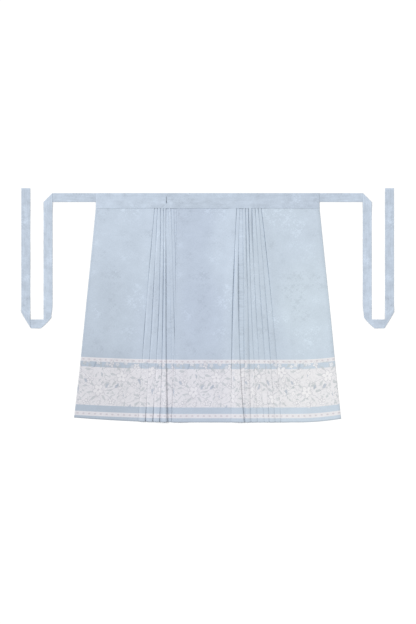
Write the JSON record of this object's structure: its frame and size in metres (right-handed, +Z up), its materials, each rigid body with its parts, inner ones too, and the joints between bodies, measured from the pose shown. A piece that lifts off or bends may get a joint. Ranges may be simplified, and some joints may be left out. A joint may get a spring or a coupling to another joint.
{
  "type": "pleated wrap skirt",
  "caption": "Pale blue satin wrap skirt with knife pleats, a floral woven hem band and long waist ties, laid open and flat.",
  "frame": {"origin": "centre of the laid-out outline, on the surface that the cloth rests on", "axes": "+X from the left tie to the right tie as seen from above, +Y from the hem to the waist, +Z up out of the front of the cloth"},
  "size_m": [1.6242, 1.0218, 0.0076],
  "materials": {
    "skirt_cloth": "pale blue satin damask, white floral woven band above the hem",
    "band_cloth": "pale blue satin damask",
    "tie_cloth": "pale blue satin damask"
  },
  "bodies": {
    "root": {"left_half": "skirt_cloth", "right_half": "skirt_cloth", "waistband": "band_cloth", "tie_left": "tie_cloth", "tie_right": "tie_cloth"}
  },
  "joints": []
}
